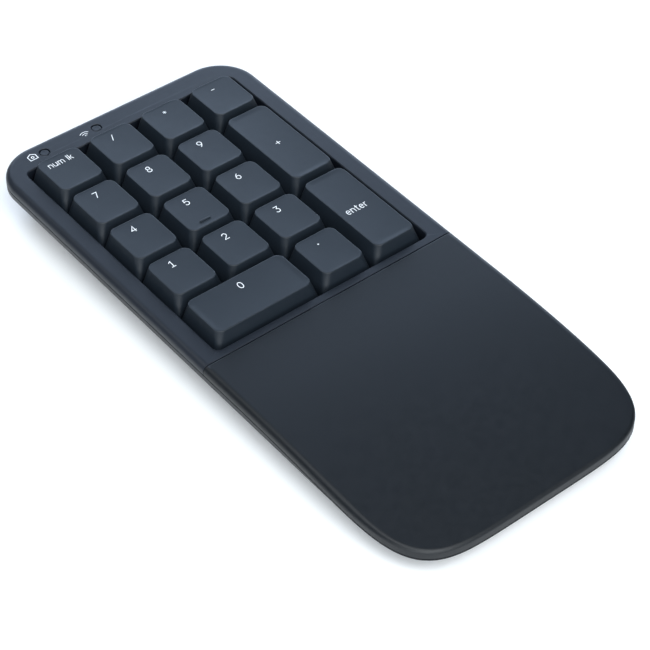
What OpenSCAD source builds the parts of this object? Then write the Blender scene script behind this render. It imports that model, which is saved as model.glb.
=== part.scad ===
// Wireless numeric keypad with an integral palm rest.
// Millimetres, +X to the right, +Y to the back, +Z up.
// The origin is on the table, under the middle of the object's outline.
//
// Most parts are drawn in the "deck" frame: z = 0 is the flat top face of the case,
// y = 0 is the middle of the key field, and the whole frame leans back by `tilt`.

/* [Body] */
// Width of the case
body_w = 90.6; // [88:0.2:96]
// Distance from the key field's middle to the back edge
back_y = 58.2; // [57:0.2:62]
// Distance from the key field's middle to the palm rest's front edge
front_y = 139.6; // [136:0.2:146]
// Where the palm rest meets the top case, in front of the key field's middle
seam_y = 50.9; // [50.4:0.1:52]
// Plan radius of the two back corners
corner_r = 13.5; // [10:0.5:16]
// Radius of the rounded top edge
edge_r = 2; // [1:0.25:2.5]
// Height of the side wall above the long side seam
side_h = 3; // [2.75:0.05:3.5]
// Height of the case's own rim below that seam
rim_h = 1.7; // [1.2:0.1:2.2]
// Wall thickness of the shells
wall = 1.6; // [1.4:0.1:1.8]
// Width of the hairline gap at each seam
seam_gap = 0.2; // [0.1:0.05:0.3]

/* [Stance] */
// Slope of the key field, in degrees
tilt = 1; // [0:0.25:1.5]
// Height of the deck above the table at the key field's middle
deck_h = 15.6; // [15.6:0.1:17]
// Height of the rubber feet under the case
foot_h = 0.8; // [0.6:0.1:1.2]
// Radius of a rubber foot
foot_r = 5; // [4:0.5:6]

/* [Palm rest] */
// Where the palm rest starts to curve down, in front of the key field's middle
slope_y = 69.4; // [60:0.2:80]
// Radius of that curve
slope_r = 505; // [450:5:600]
// Where the sides start to curve in
taper_y = 80; // [70:1:90]
// Squareness of the front corners
corner_power = 5.5; // [4:0.1:7]
// Thickness of the palm rest's top
cover_t = 1.4; // [1.2:0.1:1.4]

/* [Keys] */
// Distance between key centres
pitch = 19.05; // [19.05]
// Width of a single key's top
top_w = 14.64; // [14:0.02:15.2]
// Depth of a single key's top
top_d = 15.92; // [15:0.02:16.2]
// Set-back of the top behind the key's base
top_back = 0.6; // [0:0.1:1]
// Size of a single key's base
base_w = 18.54; // [18:0.02:18.6]
// Height of the key tops above the deck
key_proud = 2.9; // [2.5:0.1:3.2]
// Height of a keycap
cap_h = 7.8; // [7.4:0.1:8]
// How far a key travels
travel = 2.5; // [2:0.1:2.5]
// Half width of the key well
well_x = 38.6; // [38.4:0.1:39]
// Half depth of the key well
well_y = 48.2; // [48:0.1:48.6]

/* [Hidden] */
$fn = 48;
HULL_FN = 32;
eps = 0.01;

// name, column, row, width and depth in key units
KEYS = [
    ["num_lock", 0, 0, 1, 1], ["divide", 1, 0, 1, 1], ["multiply", 2, 0, 1, 1], ["minus", 3, 0, 1, 1],
    ["7", 0, 1, 1, 1], ["8", 1, 1, 1, 1], ["9", 2, 1, 1, 1], ["plus", 3, 1, 1, 2],
    ["4", 0, 2, 1, 1], ["5", 1, 2, 1, 1], ["6", 2, 2, 1, 1],
    ["1", 0, 3, 1, 1], ["2", 1, 3, 1, 1], ["3", 2, 3, 1, 1], ["enter", 3, 3, 1, 2],
    ["0", 0, 4, 2, 1], ["decimal", 2, 4, 1, 1]
];
WIDE_KEYS = [for (k = KEYS) if (k[3] + k[4] > 2) k];

PARTS = [
    "bottom_case", "top_case", "palm_rest_cover", "key_guide_frame", "membrane_sheet", "base_plate",
    "main_circuit_board", "board_components", "indicator_board", "status_leds", "status_windows",
    "indicator_cable", "power_switch_body", "power_switch_knob", "connect_switch", "connect_button",
    "battery_door", "battery_cells", "battery_contacts", "rubber_feet", "case_screws"
];

// ---- derived sizes -------------------------------------------------------------------

field_y = 40.6;                         // from the origin to the key field's middle
palm_b = front_y - taper_y;             // depth of the palm rest's curved front
floor_t = 1.2;                          // thickness of the case's floor
tuck = 7;                               // how far the underside draws in at the table
skin_top = 1.8;                         // thickness of the top case's deck

stem_r = 2.75;
stem_fit = 0.05;                        // radial clearance of a stem in its guide
chimney_r = 3.8;
chimney_top = -3.5;
cap_bottom = key_proud - cap_h;
cap_t = 1.3;
cap_ceiling = key_proud - 1.5;
stem_bottom = -7.95;
frame_top = -7.7;
frame_t = 1;
dome_top = -8;
sheet_top = -11.2;
sheet_t = 0.4;
plate_t = 0.7;
plate_bottom = sheet_top - sheet_t - plate_t;

cell_r = 5.25;                          // AAA cell
cell_l = 44.5;
cell_pitch = 11;
bay_y = -68;
bay_x = 29;
bay_half = cell_pitch / 2 + cell_r + 0.4;
cell_z = -6.95;

pcb_y = -96;
pcb_top = -5.4;
pcb_t = 1.2;
pcb_bottom = pcb_top - pcb_t;
switch_x = -14;
button_x = 14;
knob_travel = 2;
button_travel = 0.5;
button_r = 2.5;

window_y = 52.8;
window_r = 1.7;
WINDOW_X = [-1.5 * pitch, -0.5 * pitch];

// x, y and how much lower than the others the screw sits: one at the back and two pairs
SCREW_PAIRS = [[35.2, -56, 0], [34, -112, 1.8]];
SCREWS = concat([[0, 51.7, 0]], [for (side = [-1, 1], s = SCREW_PAIRS) [side * s[0], s[1], -s[2]]]);
screw_r = 1.2;
head_r = 1.9;
head_t = 1.4;
screw_seat = -9.5;                      // underside of the head's seat
screw_joint = -4.6;                     // where the lower boss meets the upper one
screw_tip = -2.6;
boss_r = 2.65;

BOARD_POSTS = [for (x = [-28, 28], y = [-105, -88]) [x, y]];
FRAME_LEGS = [for (x = [-1, 1], y = [-1, 1]) [x * pitch, y * 1.5 * pitch]];

FEET = [[-31, 43], [31, 43], [-24, -126], [24, -126]];

arm = 6;                                // reach of a stabiliser's arms
arm_y = 13.2;
tab_y = 11.6;                           // where the keycap's tabs hold the hooks
wire_r = 0.6;
pivot_z = -6.6;
hook_z = -4.15;                         // height of the hooks at rest
arm_angle = asin((hook_z - pivot_z) / arm);

// ---- frames and outlines -------------------------------------------------------------

module deck() translate([0, field_y, deck_h]) rotate([tilt, 0, 0]) children();

// height above the table of a deck-frame point
function above_table(y, z) = deck_h + y * sin(tilt) + z * cos(tilt);

function key_x(k) = (k[1] + k[3] / 2 - 2) * pitch;
function key_y(k) = (2.5 - k[2] - k[4] / 2) * pitch;

// how far the top surface has dropped at y
function drop(y) = -y > slope_y ? pow(-y - slope_y, 2) / (2 * slope_r) : 0;

// The plan outline, drawn in by `inset`: an arc at each back corner, straight sides, and a
// superellipse round the palm rest's front.
function outline(inset, step = 6) =
    let (a = body_w / 2 - inset, b = palm_b - inset)
    concat(
        back_edge(inset, step),
        [for (t = [180 : -step : 0]) [
            a * sign(cos(t)) * pow(abs(cos(t)), 2 / corner_power),
            -taper_y - b * pow(sin(t), 2 / corner_power)
        ]]
    );

function back_edge(inset, step) =
    let (a = body_w / 2 - inset, r = corner_r - inset)
    concat(
        [for (t = [0 : 1.5 * step : 90]) [a - r + r * cos(t), back_y - inset - r + r * sin(t)]],
        [for (t = [90 : 1.5 * step : 180]) [r - a + r * cos(t), back_y - inset - r + r * sin(t)]]
    );

// Half the outline's width at y, on the palm rest.
function half_width(y, inset) =
    let (t = max(0, -taper_y - y) / (palm_b - inset))
    (body_w / 2 - inset) * pow(1 - pow(t, corner_power), 1 / corner_power);

// A side view, swept across the whole width: everything between `lo` and the curved top
// surface lowered by `down`, from y0 to y1.
module side_view(down, lo, y0, y1, steps = 16)
    rotate([90, 0, 90]) linear_extrude(2 * body_w, center = true)
        polygon(concat(
            [[y0, lo], [y1, lo]],
            [for (i = [0 : steps]) let (y = y1 + (y0 - y1) * i / steps) [y, -drop(y) - down]]));

// The body between the lowered top surface and a level underside.
module body(inset, down, lo, y0 = -front_y, y1 = back_y, steps = 16)
    intersection() {
        translate([0, 0, lo - 1]) linear_extrude(2 - lo) polygon(outline(inset));
        side_view(down, lo, y0, y1, steps);
    }

module rounded_box(half_x, half_y, r, z0, z1)
    translate([0, 0, z0]) linear_extrude(z1 - z0)
        hull() for (x = [-1, 1], y = [-1, 1])
            translate([x * (half_x - r), y * (half_y - r)]) circle(r, $fn = HULL_FN);

module block(x0, x1, y0, y1, z0, z1) translate([x0, y0, z0]) cube([x1 - x0, y1 - y0, z1 - z0]);

// A square-edged ring round the well, with true rounded corners.
module well(grow, z0, z1)
    translate([0, 0, z0]) linear_extrude(z1 - z0) {
        square([2 * (well_x + grow) - 4, 2 * (well_y + grow)], center = true);
        square([2 * (well_x + grow), 2 * (well_y + grow) - 4], center = true);
        for (x = [-1, 1], y = [-1, 1])
            translate([x * (well_x + grow - 2), y * (well_y + grow - 2)]) circle(2);
    }

// ---- shells --------------------------------------------------------------------------

// The top case's outside: a slab with its back and side edges rounded over.
module top_block()
    hull() for (t = [0, 30, 60, 90])
        body(edge_r * (1 - sin(t)), edge_r * (1 - cos(t)), -side_h + seam_gap / 2,
             -seam_y + seam_gap / 2, back_y, 1);

module top_case()
    color([0.27, 0.30, 0.34]) deck() difference() {
        union() {
            difference() {
                top_block();
                body(wall, skin_top, -side_h - 1, -seam_y + 3.2, back_y - wall, 1);
            }
            well(0.8, frame_top + 0.3, -0.5);
            for (s = SCREWS) if (s[1] > -seam_y)
                translate([s[0], s[1], screw_joint + s[2]])
                    cylinder(r = boss_r - 0.4, h = -skin_top - screw_joint - s[2] + 0.5);
            for (x = [-23.5, -14.5]) translate([x, window_y, pcb_top - 0.6]) cylinder(r = 1.2, h = 5);
        }
        well(0, frame_top - 1, 1);
        for (x = WINDOW_X) translate([x, window_y, -skin_top - 1]) cylinder(r = window_r, h = 4);
        for (s = SCREWS) if (s[1] > -seam_y) screw_bore(s);
    }

// The blind bore that a screw threads into.
module screw_bore(s)
    translate([s[0], s[1], screw_joint + s[2] - 1])
        cylinder(r = screw_r + 0.05, h = screw_tip - screw_joint + 1.3);

module cover_block()
    hull() for (t = [0, 30, 60, 90])
        body(edge_r * (1 - sin(t)), edge_r * (1 - cos(t)), -side_h - drop(-front_y) + seam_gap / 2,
             -front_y, -seam_y - seam_gap / 2);

// The palm rest's cover: a curved lid whose side wall keeps one height all the way round.
module palm_rest_cover()
    color([0.23, 0.26, 0.30]) deck() difference() {
        union() {
            difference() {
                cover_block();
                body(wall, cover_t, -20, -front_y + wall, -seam_y - 1.4);
                side_view(side_h - seam_gap / 2, -20, -front_y - 1, -seam_y + 1);
            }
            for (s = SCREWS) if (s[1] < -seam_y)
                translate([s[0], s[1], screw_joint + s[2]])
                    cylinder(r = boss_r - 0.4, h = -drop(s[1]) - cover_t - screw_joint - s[2] + 0.4);
        }
        for (s = SCREWS) if (s[1] < -seam_y) screw_bore(s);
    }

// The tub: full width at its rim, following the palm rest's curve at the front, and drawn in
// to a flat base that is level with the table.
module tub(inset, lift, rise) {
    rim_front = -taper_y - 30;
    hull() {
        deck() translate([0, 0, lift - side_h - rim_h])
            linear_extrude(rim_h - lift - seam_gap / 2 + rise) polygon(concat(
                back_edge(inset, 10),
                [for (y = [-taper_y, rim_front], s = [-1, 1]) [s * half_width(y, inset), y]]));
        deck() for (y = [rim_front - 4 : -4.6 : 1.5 - front_y + inset]) {
            half = half_width(y, 1 + inset);
            rim = -side_h - drop(y) - seam_gap / 2;
            block(-half, half, y, y + eps, rim - 0.4, rim + rise);
        }
        translate([0, field_y, foot_h + lift]) linear_extrude(0.3) polygon(outline(tuck + inset, 12));
    }
}

// What lies above the seam where the palm rest curves down.
module above_front_seam()
    rotate([90, 0, 90]) linear_extrude(2 * body_w, center = true)
        polygon(concat(
            [[-front_y - 1, 2], [-slope_y - 6, 2]],
            [for (y = [-slope_y - 6 : -4 : -front_y - 4]) [y, -drop(y) - side_h - seam_gap / 2]]));

module bottom_case()
    color([0.16, 0.18, 0.21]) difference() {
        union() {
            difference() {
                tub(0, 0, 0);
                tub(wall, floor_t, 1);
                deck() above_front_seam();
            }
            rim_lip();
            posts();
            battery_walls();
            intersection() {
                tub(wall / 2, floor_t / 2, 1);
                deck() for (s = SCREWS) translate([s[0], s[1], -16])
                    cylinder(r = boss_r, h = 16 + screw_joint + s[2] - 0.1);
            }
        }
        deck() for (s = SCREWS) translate([s[0], s[1], 0]) {
            translate([0, 0, -16]) cylinder(r = screw_r + 0.2, h = 15);
            translate([0, 0, -18]) cylinder(r = head_r + 0.15, h = 18 + screw_seat + s[2]);
        }
        deck() block(switch_x - 3.2, switch_x + 5.2, pcb_y - 1.5, pcb_y + 1.5, -15, -11);
        deck() translate([button_x, pcb_y, -15]) cylinder(r = button_r + 0.1, h = 4);
        battery_opening();
        for (x = [-1, 1]) translate([x * (bay_x + 0.55), field_y + hinge_y, hinge_z])
            rotate([0, 90, 0]) cylinder(r = hinge_r + 0.05, h = 1.3, center = true);
        for (f = FEET) translate([f[0], f[1] + field_y, 0]) cylinder(r = foot_r + 0.05, h = foot_h + 0.2);
    }

// A lip inside the rim that fills the level stretch of the seam from behind. It stops short of
// the two walls that meet at the cross seam.
module rim_lip()
    for (y = [[-74, -seam_y - 2.1], [4.4 - seam_y, back_y]]) deck() {
        lip(wall + 0.15, y, 1 - side_h);
        lip(1, y, -side_h - 0.3);
    }

module lip(inset, y, top)
    intersection() {
        translate([0, 0, -side_h - 2]) linear_extrude(top + side_h + 2) difference() {
            polygon(outline(inset));
            polygon(outline(wall + 1));
        }
        block(-body_w, body_w, y[0], y[1], -side_h - 3, top);
    }

// Posts that carry the key module's steel plate and the main board.
module posts() {
    foot = foot_h + floor_t - 0.5;
    for (x = [-26.5, 0, 26.5], y = [-38, 0, 38])
        translate([x, y + field_y, foot]) cylinder(r = 1.8, h = above_table(y, plate_bottom) - foot - 0.05);
    for (p = BOARD_POSTS) {
        translate([p[0], p[1] + field_y, foot])
            cylinder(r = 2, h = above_table(p[1], pcb_bottom) - foot - 0.05);
        deck() translate([p[0], p[1], pcb_bottom - 2]) cylinder(r = 1, h = pcb_t + 2.4);
    }
}

module battery_walls()
    difference() {
        deck() block(-bay_x - 1.3, bay_x + 1.3, bay_y - bay_half - 1, bay_y + bay_half + 1, -12.4, -1.9);
        deck() block(-bay_x, bay_x, bay_y - bay_half, bay_y + bay_half, -16, 0);
        for (x = [-1, 1]) deck() translate([x * bay_x, bay_y + 4, -3.4]) cube([6, 2, 3.2], center = true);
    }

module battery_opening()
    translate([0.05 - bay_x, field_y + bay_y - bay_half, 0])
        cube([2 * bay_x - 0.1, 2 * bay_half, foot_h + floor_t + 0.2]);

// ---- key module ----------------------------------------------------------------------

module cap_slab(k, half_x, half_y, back, r, z)
    translate([0, back, z])
        rounded_box(half_x + (k[3] - 1) * pitch / 2, half_y + (k[4] - 1) * pitch / 2, r, 0, eps);

module cap_outside(k)
    hull() {
        cap_slab(k, top_w / 2 - 0.3, top_d / 2 - 0.3, top_back, 2.2, key_proud - eps);
        cap_slab(k, top_w / 2, top_d / 2, top_back, 2.5, key_proud - 0.4);
        cap_slab(k, base_w / 2, base_w / 2, 0, 0.6, cap_bottom);
    }

module cap_inside(k)
    hull() {
        cap_slab(k, top_w / 2 - 1, top_d / 2 - 1, top_back, 1.6, cap_ceiling);
        cap_slab(k, base_w / 2 - cap_t, base_w / 2 - cap_t, 0, 0.6, cap_bottom - eps);
    }

// Turns a stabilised key's fittings so that they run along its long side.
module along_key(k) rotate([0, 0, k[3] > 1 ? 90 : 0]) children();

// Two slotted tabs that the stabiliser's hooks ride in.
module cap_tabs(k)
    along_key(k) for (y = [-1, 1]) difference() {
        hook_x = -arm + arm * cos(arm_angle);
        block(hook_x - 1.9, hook_x + 2.3, y * tab_y - 0.7, y * tab_y + 0.7, -5, cap_ceiling + 0.3);
        block(hook_x - 0.8, hook_x + 1.35, y * tab_y - 2, y * tab_y + 2, hook_z - 0.75, hook_z + 0.75);
    }

module keycap(k)
    color([0.30, 0.33, 0.37]) deck() translate([key_x(k), key_y(k), 0]) {
        difference() {
            cap_outside(k);
            cap_inside(k);
        }
        translate([0, 0, stem_bottom]) cylinder(r = stem_r, h = cap_ceiling - stem_bottom + 0.3);
        if (k[3] + k[4] > 2) cap_tabs(k);
    }

module dome(k)
    color([0.75, 0.77, 0.78]) deck() translate([key_x(k), key_y(k), 0])
        rotate_extrude() polygon([
            [0, dome_top], [2.5, dome_top], [2.5, dome_top - 0.6], [4.2, sheet_top + 0.4],
            [5.2, sheet_top + 0.4], [5.2, sheet_top], [3.9, sheet_top], [2, dome_top - 0.9], [0, dome_top - 0.9]
        ]);

// The bent wire that keeps a double key level, drawn at rest with its arms raised.
module stabiliser(k)
    color([0.7, 0.71, 0.72]) deck() translate([key_x(k), key_y(k), 0]) along_key(k)
        translate([-arm, 0, pivot_z]) {
            rod([0, -arm_y, 0], [0, arm_y, 0]);
            for (y = [-1, 1]) rotate([0, -arm_angle, 0]) {
                rod([0, y * arm_y, 0], [arm, y * arm_y, 0]);
                rod([arm, y * arm_y, 0], [arm, y * (tab_y - 1), 0]);
                for (x = [0, arm]) translate([x, y * arm_y, 0]) sphere(r = wire_r);
            }
        }

module rod(a, b) {
    v = b - a;
    turn = abs(v[0]) > abs(v[1]) ? [0, 90, 0] : [-90, 0, 0];
    from = (v[0] + v[1]) > 0 ? a : b;
    translate(from) rotate(turn) cylinder(r = wire_r, h = norm(v));
}

module stabiliser_bearing(y)
    translate([-arm, y, 0]) difference() {
        block(-1.2, 1.2, -1.5, 1.5, frame_top - 0.2, pivot_z + 1.1);
        translate([0, -3, pivot_z]) rotate([-90, 0, 0]) cylinder(r = wire_r + 0.06, h = 6);
    }

module key_guide_frame()
    color([0.12, 0.13, 0.14]) deck() {
        difference() {
            union() {
                block(-well_x - 0.6, well_x + 0.6, -well_y - 0.2, well_y + 0.2,
                      frame_top - frame_t, frame_top);
                for (k = KEYS) translate([key_x(k), key_y(k), frame_top - frame_t])
                    cylinder(r = chimney_r, h = chimney_top - frame_top + frame_t);
                for (p = FRAME_LEGS) translate([p[0], p[1], plate_bottom])
                    cylinder(r = 1.8, h = frame_top - plate_bottom - 0.2);
            }
            for (k = KEYS) translate([key_x(k), key_y(k), -12]) cylinder(r = stem_r + stem_fit, h = 12);
        }
        for (k = WIDE_KEYS) translate([key_x(k), key_y(k), 0]) along_key(k)
            for (y = [-8, 8]) stabiliser_bearing(y);
    }

module membrane_sheet()
    color([0.80, 0.82, 0.80]) deck() difference() {
        union() {
            block(-37.2, 37.2, -47.4, 46.8, sheet_top - sheet_t, sheet_top);
            block(30.6, 32, -84.6, -47, sheet_top - sheet_t, sheet_top);
            block(24, 32, -84.6, -82, sheet_top - sheet_t, sheet_top);
            block(24, 30, -84.6, -84.2, sheet_top - sheet_t, pcb_bottom);
        }
        leg_holes();
    }

module base_plate()
    color([0.62, 0.63, 0.64]) deck() difference() {
        block(-36.8, 36.8, -47.6, 46.6, plate_bottom, sheet_top - sheet_t);
        leg_holes();
    }

module leg_holes()
    for (p = FRAME_LEGS) translate([p[0], p[1], -20]) cylinder(r = 1.9, h = 20);

// ---- electronics ---------------------------------------------------------------------

module main_circuit_board()
    color([0.10, 0.32, 0.20]) deck() difference() {
        block(-31, 31, -108, -84, pcb_bottom, pcb_top);
        for (p = BOARD_POSTS) translate([p[0], p[1], -8]) cylinder(r = 1.1, h = 4);
    }

module board_components()
    color([0.08, 0.08, 0.09]) deck() {
        block(-5, 5, -101, -91, pcb_top, pcb_top + 1.2);
        block(10, 16, -99, -94, pcb_top, pcb_top + 1);
        block(-16, -12.8, -101, -96, pcb_top, pcb_top + 1.6);
        block(-24, -20, -96, -93, pcb_top, pcb_top + 0.8);
        for (i = [0 : 5]) block(-26 + 3 * i, -24.4 + 3 * i, -89, -88.2, pcb_top, pcb_top + 0.6);
        for (i = [0 : 3]) block(19 + 2 * i, 20 + 2 * i, -103, -101, pcb_top, pcb_top + 0.6);
    }

module indicator_board()
    color([0.10, 0.32, 0.20]) deck() block(-31.2, -5, 49.2, 53.9, pcb_top - 1.6, pcb_top - 0.6);

module status_leds()
    color([0.85, 0.90, 0.80]) deck() for (x = WINDOW_X) {
        block(x - 1.6, x + 1.6, window_y - 1, window_y + 1, pcb_top - 0.6, pcb_top + 0.3);
        translate([x, window_y, pcb_top + 0.3]) cylinder(r = 1.1, h = 0.5);
    }

module status_windows()
    color([0.35, 0.38, 0.42]) deck() for (x = WINDOW_X) translate([x, window_y, 0]) {
        translate([0, 0, -4.2]) cylinder(r = window_r - 0.05, h = 4.05);
        translate([0, 0, -skin_top - 0.7]) cylinder(r = window_r + 0.7, h = 0.7);
    }

// A flat flexible cable from the indicator board, under the key module and past the battery
// bay, to the main board.
module indicator_cable() {
    x0 = -31.2;
    x1 = -30.5;
    t = 0.3;
    low = plate_bottom - 0.1;
    high = -9.7;
    color([0.85, 0.85, 0.82]) deck() {
        block(x0, x1, 49.2, 49.2 + t, low - t, pcb_top - 1.6);
        block(x0, x1, -49.2, 49.2 + t, low - t, low);
        block(x0, x1, -49.2, -49.2 + t, low - t, high);
        block(x0, x1, -86, -49.2 + t, high - t, high);
        block(x0, -29, -86, -85, high - t, high);
        block(-29 - t, -29, -86, -85, high - t, pcb_bottom);
    }
}

module power_switch_body()
    color([0.70, 0.71, 0.72]) deck()
        block(switch_x - 4.5, switch_x + 6.5, pcb_y - 2.4, pcb_y + 2.4, -10.5, pcb_bottom);

module power_switch_knob()
    color([0.06, 0.06, 0.07]) deck() translate([switch_x, pcb_y, 0]) {
        block(-3, 3, -2, 2, -11.3, -10.6);
        block(-1.8, 1.8, -1.3, 1.3, -13, -11.3);
        for (x = [-1.1, 0, 1.1]) block(x - 0.2, x + 0.2, -1.3, 1.3, -13.1, -12.9);
    }

module connect_switch()
    color([0.62, 0.63, 0.64]) deck() translate([button_x, pcb_y, 0]) {
        block(-3, 3, -3, 3, -9, pcb_bottom);
        translate([0, 0, -9.6]) cylinder(r = 1.7, h = 0.7);
    }

module connect_button()
    color([0.06, 0.06, 0.07]) deck() translate([button_x, pcb_y, 0]) {
        translate([0, 0, -13]) cylinder(r = button_r, h = 2);
        translate([0, 0, -11.8]) cylinder(r = 3.4, h = 1.6);
    }

// ---- battery bay ---------------------------------------------------------------------

door_t = floor_t - 0.1;
door_gap = 0.2;
hinge_y = bay_y - bay_half + 1.3;
hinge_z = foot_h + 1.1;
hinge_r = 0.5;

// A door flush with the underside, pivoting on two pins at its front edge.
module battery_door()
    color([0.16, 0.18, 0.21]) translate([0, field_y, 0]) difference() {
        union() {
            block(-bay_x + door_gap, bay_x - door_gap, hinge_y - 0.35, bay_y + bay_half - door_gap,
                  foot_h, foot_h + door_t);
            for (x = [-1, 1]) {
                translate([x * (bay_x - 0.7), hinge_y, hinge_z])
                    rotate([0, 90, 0]) cylinder(r = 0.75, h = 1, center = true);
                translate([x * (bay_x + 0.15), hinge_y, hinge_z])
                    rotate([0, 90, 0]) cylinder(r = hinge_r, h = 1.9, center = true);
            }
        }
        for (i = [0 : 4]) {
            y = bay_y + bay_half - 5 + 0.8 * i;
            block(-7, 7, y, y + 0.4, 0, foot_h + 0.3);
        }
    }

module battery_cells()
    color([0.15, 0.30, 0.55]) deck() for (s = [-1, 1])
        translate([0, bay_y + s * cell_pitch / 2, cell_z]) rotate([0, s * 90, 0]) {
            translate([0, 0, -cell_l / 2]) cylinder(r = cell_r, h = cell_l - 0.8);
            translate([0, 0, cell_l / 2 - 0.8]) cylinder(r = 1.9, h = 0.8);
        }

module battery_contacts()
    color([0.78, 0.78, 0.76]) deck() for (s = [-1, 1]) {
        translate([s * (bay_x - 0.3), bay_y, cell_z]) cube([0.5, 20, 8], center = true);
        translate([s * (cell_l / 2 + 0.15), bay_y + s * cell_pitch / 2, cell_z])
            rotate([0, s * 90, 0]) cylinder(r = 2.4, h = bay_x - cell_l / 2 - 0.6);
        translate([0, bay_y + s * cell_pitch / 2, cell_z]) {
            for (i = [0 : 3]) translate([-s * (cell_l / 2 + 0.75 + i * 1.5), 0, 0])
                rotate([0, 90, 0]) rotate_extrude() translate([2.6 + 0.3 * i, 0]) circle(0.5);
            translate([-s * (bay_x - 3.6), 0, 0]) cube([6, 0.6, 5], center = true);
        }
    }

module rubber_feet()
    color([0.05, 0.05, 0.05]) for (f = FEET)
        translate([f[0], f[1] + field_y, 0]) cylinder(r = foot_r, h = foot_h + 0.2);

module case_screws()
    color([0.55, 0.56, 0.58]) deck() for (s = SCREWS)
        translate([s[0], s[1], screw_seat + s[2]]) difference() {
            union() {
                translate([0, 0, -head_t]) cylinder(r = head_r, h = head_t);
                translate([0, 0, -eps]) cylinder(r = screw_r, h = screw_tip - screw_seat);
            }
            for (a = [0, 90]) rotate([0, 0, a]) translate([0, 0, -head_t])
                cube([2.4, 0.5, 1.2], center = true);
        }

// ---- output --------------------------------------------------------------------------

bottom_case();
top_case();
palm_rest_cover();
key_guide_frame();
membrane_sheet();
base_plate();
main_circuit_board();
board_components();
indicator_board();
status_leds();
status_windows();
indicator_cable();
power_switch_body();
power_switch_knob();
connect_switch();
connect_button();
battery_door();
battery_cells();
battery_contacts();
rubber_feet();
case_screws();
for (k = KEYS) {
    keycap(k);
    dome(k);
}
for (k = WIDE_KEYS) stabiliser(k);
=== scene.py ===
import math
from collections import namedtuple

import bmesh
import bpy
from mathutils import Matrix, Vector


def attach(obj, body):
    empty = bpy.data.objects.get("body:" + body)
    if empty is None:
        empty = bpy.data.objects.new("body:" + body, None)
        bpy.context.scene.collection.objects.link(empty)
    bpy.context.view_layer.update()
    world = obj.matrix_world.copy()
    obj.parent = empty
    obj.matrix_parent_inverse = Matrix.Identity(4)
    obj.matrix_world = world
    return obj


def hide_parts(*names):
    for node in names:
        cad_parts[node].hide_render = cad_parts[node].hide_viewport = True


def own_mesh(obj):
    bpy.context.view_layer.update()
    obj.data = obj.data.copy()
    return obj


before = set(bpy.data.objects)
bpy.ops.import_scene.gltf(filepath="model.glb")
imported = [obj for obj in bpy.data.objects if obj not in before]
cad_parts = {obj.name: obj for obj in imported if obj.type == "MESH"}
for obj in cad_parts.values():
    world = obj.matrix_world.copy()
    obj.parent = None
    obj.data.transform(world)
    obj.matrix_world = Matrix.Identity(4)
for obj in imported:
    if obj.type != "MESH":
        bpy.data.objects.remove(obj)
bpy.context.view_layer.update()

# ---- the design's own dimensions, in mm, as in part.scad -------------------------------------
# Heights count from the deck, the flat top face of the case, but FOOT_H, DECK_H and HINGE_Z count
# from the table. Distances count from the middle of the key field, with +Y to the back.
FIELD_Y, DECK_H, TILT = 40.6, 15.6, 1.0
BODY_W, BACK_Y, FRONT_Y, SEAM_Y = 90.6, 58.2, 139.6, 50.9
CORNER_R, EDGE_R, SIDE_H, RIM_H = 13.5, 2.0, 3.0, 1.7
WALL, SEAM_GAP, SKIN_T, COVER_T, FLOOR_T = 1.6, 0.2, 1.8, 1.4, 1.2
FOOT_H, FOOT_R, TUCK = 0.8, 5.0, 7.0
SLOPE_Y, SLOPE_R, TAPER_Y, CORNER_POWER = 69.4, 505.0, 80.0, 5.5
PALM_B = FRONT_Y - TAPER_Y
PITCH, TOP_W, TOP_D, TOP_BACK, BASE_W = 19.05, 14.64, 15.92, 0.6, 18.54
KEY_PROUD, CAP_H, CAP_T, CAP_CEILING = 2.9, 7.8, 1.3, 1.4
STEM_R, STEM_BOTTOM = 2.75, -7.95
WELL_X, WELL_Y, WELL_R, WELL_BOTTOM = 38.6, 48.2, 2.0, -7.4
DOME_TOP, SHEET_TOP = -8.0, -11.2
WINDOW_Y, WINDOW_R, WINDOW_XS = 52.8, 1.7, (-1.5 * PITCH, -0.5 * PITCH)
BAY_X, BAY_Y, BAY_HALF, BAY_BOTTOM, BAY_TOP = 29.0, -68.0, 11.15, -12.2, -1.95
PCB_Y, PCB_TOP, PCB_T = -96.0, -5.4, 1.2
HINGE_Y, HINGE_Z = BAY_Y - BAY_HALF + 1.3, FOOT_H + 1.1
FEET = [(-31, 43), (31, 43), (-24, -126), (24, -126)]

# the power switch's slot and the connect button's hole, through the floor
POWER_X, CONNECT_X, BUTTON_HOLE_R = -14, 14, 2.6
SLOT_LEFT, SLOT_RIGHT, SLOT_HALF = 3.2, 5.2, 1.5
THROUGH_FLOOR = (-15, -11)

# one screw at the back and two pairs; a pair's third number is how much lower it sits
SCREW_PAIRS = [(35.2, -56, 0), (34, -112, 1.8)]
SCREWS = [(0, 51.7, 0)] + [(side * x, y, -low) for side in (-1, 1) for x, y, low in SCREW_PAIRS]
SCREW_SEAT, HEAD_HOLE_R, BELOW_CASE = -9.5, 2.05, -18
BOSS_R, BOSS_BORE, BOSS_BOTTOM, BOSS_TOP = 2.65, 1.4, -9.4, -4.75

# the battery bay's walls and its doorway
BAY_WALL_X, BAY_WALL_Y, BAY_OUTER_R, BAY_INNER_R = 1.3, 1, 1.2, 0.4
DOORWAY_INSET, DOORWAY_R, DOORWAY_TOP = 0.05, 0.6, 2.6

# posts that hold the key guide frame and the main circuit board; the floor is level, so in the
# deck's frame it rises to the front
GUIDE_POST_X, GUIDE_POST_Y, GUIDE_POST_R, GUIDE_POST_TOP = 26.5, 38, 1.8, -12.35
FLOOR_Z, FLOOR_RISE = -13.3, 0.0175
BOARD_POST_X, BOARD_POST_YS, BOARD_POST_R, BOARD_POST_BOTTOM, BOARD_PIN_R = 28, (-105, -88), 2, -11.6, 1

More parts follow.
